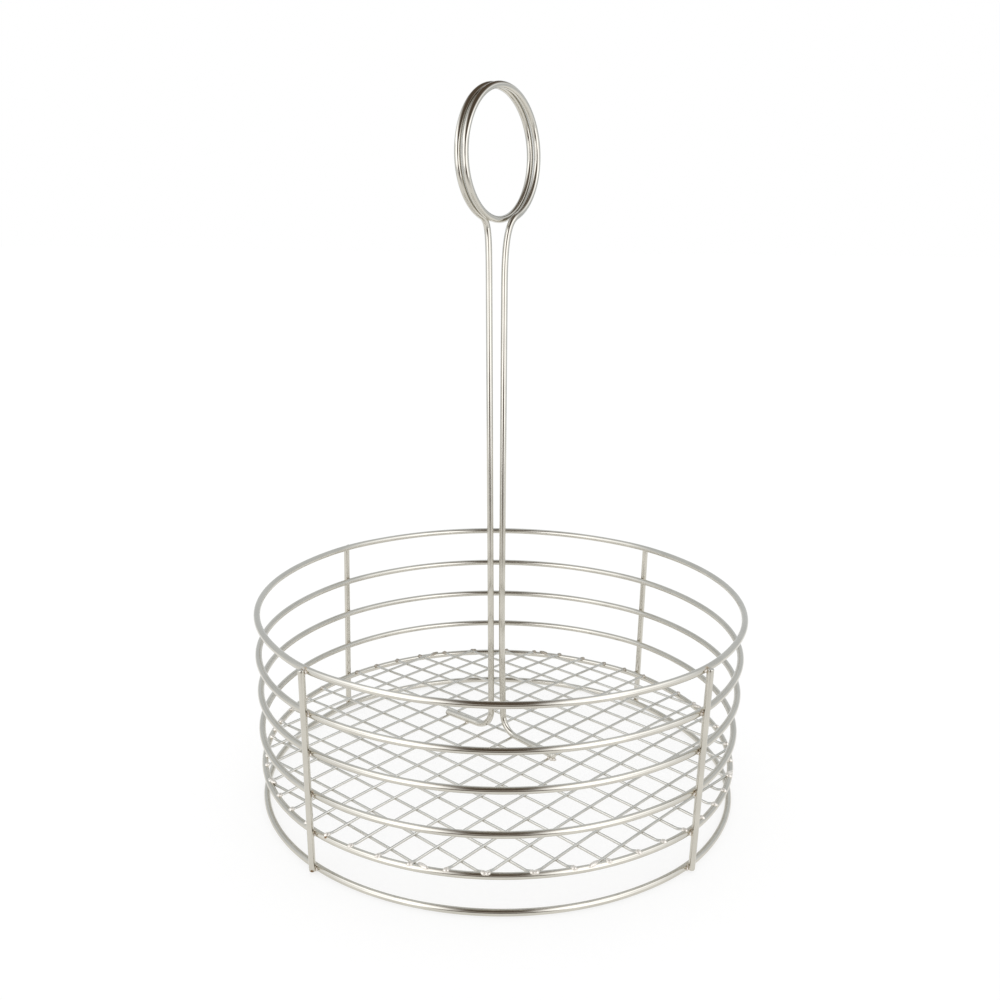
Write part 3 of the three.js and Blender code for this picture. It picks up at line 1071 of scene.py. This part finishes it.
class BASKET_OT_rings(bpy.types.Operator):
    """Make the six wire rings of the wall, floor and base"""

    bl_idname = "basket.rings"
    bl_label = "Rings"

    def execute(self, context):
        wires = context.scene.basket_wires
        welds = context.scene.basket_welds
        spots = upright_weld_spots(wires)
        tails = np.concatenate([floor_wires(nodes)[2].reshape(-1, 3) for nodes in (LOWER_NODES, UPPER_NODES)])
        tails[:, 2] = FLOOR_TOP
        for node in RING_NODES:
            surface = self.ring(node, wires)
            points = surface["points"]
            tints = [upright_tint(upright, points, spots[upright], welds) for upright in UPRIGHT_NODES]
            heat = np.max(tints, axis=0)
            rust = None
            if node == "floor_ring":
                heat = np.maximum(heat, welds.mesh_tint * nearness(points, tails, welds.mesh_heat))
                rust = nearness(points, [self.rust_speck(node, wires)], SPECK_REACH)
            add_piece(f"{node}_steel", surface, frame_steel(context.scene), heat, rust, [node])
        return {"FINISHED"}

    @staticmethod
    def ring(node, wires):
        """A circle carried round the ring's centre line: centre + r cos t upward + r sin t outward."""
        radius, _, wire_radius = ring_size(node)
        around = np.arange(wires.ring_steps) / wires.ring_steps * 2 * np.pi
        path = ring_line(node, around, wires)
        outward = np.stack([np.cos(around), np.sin(around), np.zeros_like(around)], -1)
        upward = np.broadcast_to(UP, outward.shape)
        half = np.full(wires.ring_steps, wire_radius)
        grid = swept_grid(path, upward, outward, half, half, wires.sides)
        along = np.arange(wires.ring_steps + 1) / wires.ring_steps * 2 * np.pi * radius
        return shell(grid, along, 2 * np.pi * wire_radius, closed=True)

    @staticmethod
    def rust_speck(node, wires):
        """A speck on the upper outside of a ring, a little in front of the left upright."""
        angle = upright_angle("upright_front_left") + SPECK_TURN
        level = math.cos(SPECK_LEAN)
        outward = np.array([level * math.cos(angle), level * math.sin(angle), math.sin(SPECK_LEAN)])
        return ring_line(node, angle, wires) + FRAME_RADIUS * outward


class BASKET_OT_uprights(bpy.types.Operator):
    """Make the four uprights outside the rings"""

    bl_idname = "basket.uprights"
    bl_label = "Uprights"

    def execute(self, context):
        wires = context.scene.basket_wires
        welds = context.scene.basket_welds
        spots = upright_weld_spots(wires)
        for node in UPRIGHT_NODES:
            surface, foot = self.upright(node, wires)
            heat = upright_tint(node, surface["points"], spots[node], welds)
            rust = None
            if node == "upright_front_left":
                rust = nearness(surface["points"], [foot + FOOT_SPECK], FOOT_SPECK_REACH)
            add_piece(f"{node}_steel", surface, frame_steel(context.scene), heat, rust, [node])
        return {"FINISHED"}

    @staticmethod
    def upright(node, wires):
        """A circle carried up a straight line, and the line's lower end.

        Its radius is the wire's times a blunt power of a sine at the rounded foot, then the wire's, and
        follows a small quarter circle at the sawn top.
        """
        ends = upright_line(node, wires)
        length = np.linalg.norm(ends[1] - ends[0])
        turn = np.linspace(FOOT_START, 1.0, FOOT_STATIONS) * np.pi / 2
        foot_run = wires.bottom_round * (1 - np.cos(turn))
        foot_half = FRAME_RADIUS * np.sin(turn) ** FOOT_BLUNTNESS
        shaft_run = np.linspace(wires.bottom_round, length - wires.top_ease, SHAFT_STATIONS)[1:-1]
        top_turn = np.linspace(0.0, 1.0, TOP_STATIONS) * np.pi / 2
        top_run = length - wires.top_ease * (1 - np.sin(top_turn))
        top_half = FRAME_RADIUS - wires.top_ease * (1 - np.cos(top_turn))
        run = np.concatenate([foot_run, shaft_run, top_run])
        half = np.concatenate([foot_half, np.full(len(shaft_run), FRAME_RADIUS), top_half])
        path = ends[0] + run[:, None] * unit(ends[1] - ends[0])
        first, second = carried_frames(path)
        grid = swept_grid(path, first, second, half, half, wires.sides)
        return shell(grid, run, 2 * np.pi * FRAME_RADIUS, closed=False), ends[0]


class BASKET_OT_floor_mesh(bpy.types.Operator):
    """Make the two layers of thin wires in the floor"""

    bl_idname = "basket.floor_mesh"
    bl_label = "Floor mesh"

    def execute(self, context):
        floor = context.scene.basket_floor
        self.layer(context, LOWER_NODES, UPPER_NODES, floor.lower_middle)
        self.layer(context, UPPER_NODES, LOWER_NODES, floor.upper_middle)
        return {"FINISHED"}

    def layer(self, context, nodes, others, middle):
        """Makes the wires of one layer, tinted where they cross the other layer."""
        floor = context.scene.basket_floor
        welds = context.scene.basket_welds
        starts, ways, ends = floor_wires(nodes)
        other_starts, other_ways, _ = floor_wires(others)
        level = (floor.upper_middle + floor.lower_middle) / 2
        for order, node in enumerate(nodes):
            surface = self.wire(ends[order], middle, floor)
            knots = crossings(starts[order], ways[order], other_starts, other_ways)
            spots = np.concatenate([knots, floor_height(knots, level, floor)[:, None]], 1)
            heat = welds.mesh_tint * nearness(surface["points"], spots, welds.mesh_heat)
            add_piece(f"{node}_steel", surface, mesh_steel(context.scene), heat, None, [node])

    @staticmethod
    def wire(ends, middle, floor):
        """An ellipse carried over the crowned floor, from end to end.

        Its height is the floor's, and over each tail it goes to the ring's top by s^2 (3 - 2s), where s is
        the share of the tail, while the section is pressed wide and flat. The tip closes as a quarter circle.
        """
        ends, _ = cut_ends(ends, floor)
        length = np.linalg.norm(ends[1] - ends[0])
        tip_length = TIP_SHARE * floor.wire
        tip_run = TIP_STATIONS * tip_length
        middle_run = np.linspace(tip_length, length - tip_length, round(length / floor.step))
        run = np.concatenate([tip_run, middle_run, length - tip_run[::-1]])
        path = ends[0] + run[:, None] * unit(ends[1] - ends[0])
        from_end = np.minimum(run, length - run)
        near_end = np.clip(1 - from_end / floor.tail, 0, 1)
        press = near_end ** 2 * (3 - 2 * near_end)
        seat = FLOOR_TOP + floor.tail_seat
        path[:, 2] = floor_height(path, middle, floor) * (1 - press) + seat * press
        tip = np.clip(from_end / tip_length, 0.0, 1.0)
        closing = np.sqrt(np.clip(1 - (1 - tip) ** 2, TIP_LEAST, 1.0))
        radius = floor.wire / 2
        wide = radius * (1 + (floor.tail_wide - 1) * press) * closing
        tall = radius * (1 + (floor.tail_flat - 1) * press) * closing
        tangent = unit(np.gradient(path, axis=0))
        sideways = unit(np.cross(np.broadcast_to(UP, path.shape), tangent))
        grid = swept_grid(path, sideways, np.cross(tangent, sideways), wide, tall, floor.sides)
        return shell(grid, run, 2 * np.pi * radius, closed=False)


class BASKET_OT_handle(bpy.types.Operator):
    """Make the handle, one wire wound twice round a finger loop"""

    bl_idname = "basket.handle"
    bl_label = "Handle"

    def execute(self, context):
        handle = context.scene.basket_handle
        path = handle_path(handle)
        run = run_along(path)
        first, second = carried_frames(path)
        edge = np.clip(np.minimum(run, run[-1] - run) / handle.end_ease, 0.0, 1.0)
        half = FRAME_RADIUS - handle.end_ease * (1 - np.sqrt(np.clip(1 - (1 - edge) ** 2, 0.0, 1.0)))
        grid = swept_grid(path, first, second, half, half, handle.sides)
        surface = shell(grid, run, 2 * np.pi * FRAME_RADIUS, closed=False)
        heat = FOOT_TINT * nearness(surface["points"], foot_weld_spots(context.scene), FOOT_HEAT)
        add_piece(f"{HANDLE_NODE}_steel", surface, frame_steel(context.scene), heat, None,
                  [HANDLE_NODE])
        return {"FINISHED"}


class BASKET_OT_upright_welds(bpy.types.Operator):
    """Make the beads of weld metal between the uprights and the rings"""

    bl_idname = "basket.upright_welds"
    bl_label = "Upright welds"

    def execute(self, context):
        welds = context.scene.basket_welds
        for order, (node, spots) in enumerate(upright_weld_spots(context.scene.basket_wires).items()):
            angle = upright_angle(node)
            outward = np.array([math.cos(angle), math.sin(angle), 0.0])
            axes = np.array([[-outward[1], outward[0], 0.0], UP, outward])
            phase = UPRIGHT_PHASE * order
            beads = [bead_shell(spot, axes, welds.bead_size, welds.lumps, phase + RING_PHASE * k)
                     for k, spot in enumerate(spots)]
            add_piece(f"{node}_weld_beads", joined(beads), weld_metal(context.scene))
        return {"FINISHED"}


class BASKET_OT_tail_welds(bpy.types.Operator):
    """Make the beads of weld metal that hold the mesh wires' ends to the floor ring"""

    bl_idname = "basket.tail_welds"
    bl_label = "Tail welds"

    def execute(self, context):
        floor = context.scene.basket_floor
        welds = context.scene.basket_welds
        around = np.linspace(-np.pi, np.pi, RING_SAMPLES)
        ring = ring_line("floor_ring", around, context.scene.basket_wires)
        for layer, nodes in (("lower", LOWER_NODES), ("upper", UPPER_NODES)):
            beads = []
            for order, node in enumerate(nodes):
                ends, lying = cut_ends(np.array(wire_ends(node)), floor)
                for k in (0, 1):
                    phase = WIRE_PHASE * order + WIRE_END_PHASE * k
                    beads.append(self.bead(ends[k], ends[1 - k], lying[k], ring, welds, phase))
            add_piece(f"mesh_{layer}_tail_beads", joined(beads), tail_metal(context.scene))
        return {"FINISHED"}

    @staticmethod
    def bead(end, other_end, lying, ring, welds, phase):
        """A lumpy egg at a wire's end, with its long axis along the wire, at the ring's top.

        Towards the front its middle lies further out and lower. Over a lying tail it is longer, and its
        middle lies before the wire's end by a share of its half length.
        """
        along = unit((other_end - end) * LEVEL)
        across = np.array([-along[1], along[0], 0.0])
        size = np.array(welds.lying_bead if lying else welds.tail_bead)
        nearest = ring[np.linalg.norm(ring[:, :2] - end[:2], axis=1).argmin()]
        outward = unit(nearest * LEVEL)
        front = (1 - outward[1]) / 2
        centre = end + (LYING_SHARE * size[0] * along if lying else front * welds.tail_outward * outward)
        centre[2] = nearest[2] + FRAME_RADIUS - front * welds.tail_sink
        return bead_shell(centre, np.array([along, across, UP]), size, welds.tail_lumps, phase)


class BASKET_OT_foot_welds(bpy.types.Operator):
    """Make the beads of weld metal under the handle's feet"""

    bl_idname = "basket.foot_welds"
    bl_label = "Foot welds"

    def execute(self, context):
        welds = context.scene.basket_welds
        axes = np.eye(3)
        size = welds.foot_bead * FOOT_FLATTENING
        beads = [bead_shell(spot, axes, size, welds.lumps, FOOT_PHASE * k)
                 for k, spot in enumerate(foot_weld_spots(context.scene))]
        corner, outward, length = foot_line(context.scene.basket_handle, 1)
        end = corner + (length - welds.end_bead / 2) * outward - FRAME_RADIUS * UP
        end_size = welds.end_bead * FOOT_FLATTENING
        beads.append(bead_shell(end, axes, end_size, FOOT_END_LUMPS * welds.lumps, FOOT_END_PHASE))
        add_piece("handle_foot_weld_beads", joined(beads), weld_metal(context.scene))
        return {"FINISHED"}


# Stage

CARD_STEPS = 8

# Where the roof's panels come in towards the front, and fade to the sides, and where the slot ends behind
ROOF_ONSET = (-0.17, 0.14)
ROOF_SIDE_BAND = (0.26, 0.62)
ROOF_SIDE_SHARE = (1.0, 0.35)
SLOT_END_BEHIND = 0.03
SLOT_END_BEFORE = 0.04

# Where the front's panels fade to the sides, how its slot pales halfway up, and how it widens low down
FRONT_SIDE_BAND = (0.38, 0.75)
FRONT_SIDE_SHARE = (1.0, 0.6)
PALE_FROM = (0.1, 0.16)
PALE_UNTIL = (0.2, 0.27)
PALE_ADDED = 0.5
LOW_BAND = (0.06, 0.15)
LOW_WIDENING = (0.06, 0.0)

# The tent's sides and back
SIDE_ONSET = (-0.3, 0.6)
BACK_LOW_BAND = (0.0, 0.12)
BACK_LOW_TONE = 1.06

# The end of the white floor: its tone beside the slot and below it, and how soon it is reached
EDGE_TONE = 0.35
EDGE_WALL_SHARE = 0.4
EDGE_SLOT_ADDED = 0.2
EDGE_MARGIN = 0.03
EDGE_LIFT = 0.5 * MM

SENSOR_WIDTH = 36.0
CLIP_END = 100.0


def stage_axes(stage):
    """Directions of the stage, turned with the camera: to the right, towards the camera and up."""
    turn = stage.camera_azimuth
    right = np.array([math.cos(turn), math.sin(turn), 0.0])
    towards = np.array([math.sin(turn), -math.cos(turn), 0.0])
    return right, towards, UP


def add_card(name, corner, first, second, spans, material):
    """A flat sheet of the stage: corner + u first + v second, with u and v in metres as its UV map."""
    row = CARD_STEPS + 1
    u, v = np.meshgrid(*(np.linspace(*span, row) for span in spans), indexing="ij")
    points = np.asarray(corner) + u[..., None] * first + v[..., None] * second
    i, j = np.meshgrid(np.arange(CARD_STEPS), np.arange(CARD_STEPS), indexing="ij")
    start = i * row + j
    quads = np.stack([start, start + row, start + row + 1, start + 1], -1).reshape(-1, 4)
    mesh = bpy.data.meshes.new(name)
    mesh.from_pydata(points.reshape(-1, 3).tolist(), [], quads.tolist())
    metres = np.stack([u, v], -1).reshape(-1, 2)[quads.ravel()]
    mesh.uv_layers.new(name=CARD_MAP).uv.foreach_set("vector", metres.astype(np.float32).ravel())
    mesh.materials.append(material)
    card = bpy.data.objects.new(name, mesh)
    bpy.context.scene.collection.objects.link(card)
    return card


def only_mirrored(card):
    """Lets a card show in gloss only, so that it neither hides the white room nor shades the floor."""
    card.visible_camera = False
    card.visible_diffuse = False
    card.visible_shadow = False
    card.visible_transmission = False


def card_finish(name):
    """An emissive card's material and tree, and the two sockets of its UV map: metres along its two sides."""
    material, tree, shader = new_finish(name)
    tree.nodes.remove(shader)
    split = add_node(tree, "ShaderNodeSeparateXYZ")
    tree.links.new(add_node(tree, "ShaderNodeUVMap", uv_map=CARD_MAP).outputs["UV"], split.inputs["Vector"])
    return material, tree, split.outputs["X"], split.outputs["Y"]


def set_glow(tree, colour):
    """Gives an emissive card the colour of a socket."""
    glow = add_node(tree, "ShaderNodeEmission", inputs={"Strength": 1.0})
    tree.links.new(colour, glow.inputs["Color"])
    tree.links.new(glow.outputs["Emission"], tree.nodes["Material Output"].inputs["Surface"])


def outside_slot(tree, stage, side, forward, wider=0.0):
    """0 in the dark slot and 1 outside it, from the distances to the side and towards the front."""
    half = measured(tree, "MULTIPLY_ADD", forward, stage.slot_spread, stage.slot_width)
    half = measured(tree, "ADD", half, wider)
    beyond = measured(tree, "SUBTRACT", measured(tree, "ABSOLUTE", side), half)
    return ranged(tree, beyond, (-stage.slot_edge, stage.slot_edge))


def roof_finish(stage):
    """The tent's roof: grey-white behind the basket, two light panels before it and a dark slot between."""
    material, tree, side, forward = card_finish("tent_roof")
    onset = ranged(tree, forward, ROOF_ONSET)
    falloff = ranged(tree, measured(tree, "ABSOLUTE", side), ROOF_SIDE_BAND, ROOF_SIDE_SHARE)
    panel = blended(tree, measured(tree, "MULTIPLY", onset, falloff), stage.wall_colour, stage.panel_colour)
    slot_end = (-stage.slot_back - SLOT_END_BEHIND, -stage.slot_back + SLOT_END_BEFORE)
    behind = ranged(tree, forward, slot_end, FALLING)
    clear = measured(tree, "MAXIMUM", outside_slot(tree, stage, side, forward), behind)
    set_glow(tree, blended(tree, clear, stage.slot_colour, panel))
    return material


def front_finish(stage):
    """The tent's front: two light panels and a dark slot between, wider low down and paler halfway up."""
    material, tree, side, height = card_finish("tent_front")
    falloff = ranged(tree, measured(tree, "ABSOLUTE", side), FRONT_SIDE_BAND, FRONT_SIDE_SHARE)
    panel = blended(tree, falloff, stage.wall_colour, stage.panel_colour)
    lower, upper = ranged(tree, height, PALE_FROM), ranged(tree, height, PALE_UNTIL, FALLING)
    pale = tuple(PALE_ADDED + channel for channel in stage.slot_colour)
    slot = blended(tree, measured(tree, "MULTIPLY", lower, upper), stage.slot_colour, pale)
    wider = ranged(tree, height, LOW_BAND, LOW_WIDENING)
    set_glow(tree, blended(tree, outside_slot(tree, stage, side, stage.tent_front, wider), slot, panel))
    return material


def side_finish(stage):
    """The tent's sides: grey-white, and halfway from white to the panels' light in front."""
    material, tree, forward, _ = card_finish("tent_wall")
    bright = tuple((1 + channel) / 2 for channel in stage.panel_colour)
    set_glow(tree, blended(tree, ranged(tree, forward, SIDE_ONSET), stage.wall_colour, bright))
    return material


def back_finish(stage):
    """The tent's back: grey-white, a little brighter low down beside the floor."""
    material, tree, _, height = card_finish("tent_back")
    pale = tuple(BACK_LOW_TONE * channel for channel in stage.wall_colour)
    set_glow(tree, blended(tree, ranged(tree, height, BACK_LOW_BAND), pale, stage.wall_colour))
    return material


def floor_edge_finish(stage):
    """The far end of the white floor in front of the basket, which darkens most below the slot."""
    material, tree, side, forward = card_finish("floor_edge")
    beside = tuple(EDGE_TONE + EDGE_WALL_SHARE * channel for channel in stage.wall_colour)
    below = tuple(EDGE_SLOT_ADDED + channel for channel in stage.slot_colour)
    dark = blended(tree, outside_slot(tree, stage, side, forward), below, beside)
    share = ranged(tree, forward, (stage.floor_edge, stage.tent_front - EDGE_MARGIN))
    set_glow(tree, blended(tree, share, WHITE, dark))
    return material


def floor_finish(stage):
    """A pale matt floor that glows where it is seen or mirrored, so that only its shaded part is grey."""
    material, tree, shader = new_finish("pale_floor")
    shader.inputs["Base Color"].default_value = (*stage.floor_colour, 1.0)
    shader.inputs["Roughness"].default_value = 1.0
    shader.inputs["Specular IOR Level"].default_value = 0.0
    shader.inputs["Emission Color"].default_value = (*WHITE, 1.0)
    rays = add_node(tree, "ShaderNodeLightPath").outputs
    seen = measured(tree, "MAXIMUM", rays["Is Camera Ray"], rays["Is Glossy Ray"])
    seen = measured(tree, "MAXIMUM", seen, rays["Is Transmission Ray"])
    tree.links.new(measured(tree, "MULTIPLY", seen, stage.floor_glow), shader.inputs["Emission Strength"])
    return material


class BASKET_OT_stage(bpy.types.Operator):
    """Make the floor, the light tent round the basket, the white room and the camera"""

    bl_idname = "basket.stage"
    bl_label = "Stage"

    def execute(self, context):
        stage = context.scene.basket_stage
        self.floor(stage)
        self.light_tent(stage)
        self.room(context.scene)
        self.camera(context.scene, stage)
        return {"FINISHED"}

    @staticmethod
    def floor(stage):
        """A flat square under the basket."""
        span = (-stage.floor_size, stage.floor_size)
        add_card("studio_floor", np.zeros(3), np.array([1.0, 0.0, 0.0]), np.array([0.0, 1.0, 0.0]),
                 (span, span), floor_finish(stage))

    @staticmethod
    def light_tent(stage):
        """The sheets of the light tent, which show only in gloss: roof, front, sides, back and floor edge."""
        right, towards, up = stage_axes(stage)
        reach, front = stage.tent_reach, stage.tent_front
        wide, deep, tall = (-reach, reach), (-reach, front), (0.0, stage.tent_height)
        edge = (stage.floor_edge, front)
        sides = side_finish(stage)
        sheets = (
            ("tent_roof", stage.tent_height * up, right, towards, (wide, deep), roof_finish(stage)),
            ("tent_front", front * towards, right, up, (wide, tall), front_finish(stage)),
            ("tent_left", -reach * right, towards, up, (deep, tall), sides),
            ("tent_right", reach * right, towards, up, (deep, tall), sides),
            ("tent_back", -reach * towards, right, up, (wide, tall), back_finish(stage)),
            ("tent_floor_edge", EDGE_LIFT * up, right, towards, (wide, edge), floor_edge_finish(stage)),
        )
        for sheet in sheets:
            only_mirrored(add_card(*sheet))

    @staticmethod
    def room(scene):
        """A white room that lights everything evenly."""
        world = bpy.data.worlds.new("white_room")
        world.use_nodes = True
        background = world.node_tree.nodes["Background"]
        background.inputs["Color"].default_value = (*WHITE, 1.0)
        background.inputs["Strength"].default_value = 1.0
        scene.world = world
        scene.view_settings.view_transform = "Standard"

    @staticmethod
    def camera(scene, stage):
        """The camera in front of the basket, level with the loop's foot and looking a little down."""
        data = bpy.data.cameras.new("photo_camera")
        data.sensor_fit = "HORIZONTAL"
        data.sensor_width = SENSOR_WIDTH
        data.lens = stage.camera_lens
        data.clip_end = CLIP_END
        right, towards, up = (Vector(axis) for axis in stage_axes(stage))
        place = stage.camera_distance * towards + stage.camera_height * up
        look = math.cos(stage.camera_yaw) * -towards + math.sin(stage.camera_yaw) * right
        across = math.cos(stage.camera_yaw) * right + math.sin(stage.camera_yaw) * towards
        forward = math.cos(stage.camera_pitch) * look - math.sin(stage.camera_pitch) * up
        above = across.cross(forward)
        level = math.cos(stage.camera_roll) * across + math.sin(stage.camera_roll) * above
        above = math.cos(stage.camera_roll) * above - math.sin(stage.camera_roll) * across
        turn = Matrix((level, above, -forward)).transposed().to_4x4()
        camera = bpy.data.objects.new("photo_camera", data)
        camera.matrix_world = Matrix.Translation(place) @ turn
        scene.collection.objects.link(camera)
        scene.camera = camera


OPERATORS = (BASKET_OT_rings, BASKET_OT_uprights, BASKET_OT_floor_mesh, BASKET_OT_handle,
             BASKET_OT_upright_welds, BASKET_OT_tail_welds, BASKET_OT_foot_welds, BASKET_OT_stage)
SETTINGS = {
    "basket_wires": BasketWireSettings,
    "basket_floor": FloorMeshSettings,
    "basket_handle": HandleSettings,
    "basket_welds": WeldSettings,
    "basket_finish": FinishSettings,
    "basket_stage": StageSettings,
}


class BASKET_PT_pieces(bpy.types.Panel):
    """List the basket's pieces and their settings"""

    bl_idname = "BASKET_PT_pieces"
    bl_label = "Condiment Basket"
    bl_space_type = "VIEW_3D"
    bl_region_type = "UI"
    bl_category = "Basket"

    def draw(self, context):
        for operator in OPERATORS:
            self.layout.operator(operator.bl_idname)
        for name, group in SETTINGS.items():
            box = self.layout.box()
            box.label(text=group.__doc__)
            for setting in group.__annotations__:
                box.prop(getattr(context.scene, name), setting)


def register():
    """Makes the settings, operators and panel known to Blender."""
    for kind in (*SETTINGS.values(), *OPERATORS, BASKET_PT_pieces):
        bpy.utils.register_class(kind)
    for name, group in SETTINGS.items():
        setattr(bpy.types.Scene, name, PointerProperty(type=group))


def unregister():
    """Takes them away again."""
    for name in SETTINGS:
        delattr(bpy.types.Scene, name)
    for kind in (BASKET_PT_pieces, *reversed(OPERATORS), *reversed(SETTINGS.values())):
        bpy.utils.unregister_class(kind)


def main():
    """Builds every piece and the stage."""
    register()
    bpy.ops.basket.rings()
    bpy.ops.basket.uprights()
    bpy.ops.basket.floor_mesh()
    bpy.ops.basket.handle()
    bpy.ops.basket.upright_welds()
    bpy.ops.basket.tail_welds()
    bpy.ops.basket.foot_welds()
    bpy.ops.basket.stage()


if __name__ == "__main__":
    main()
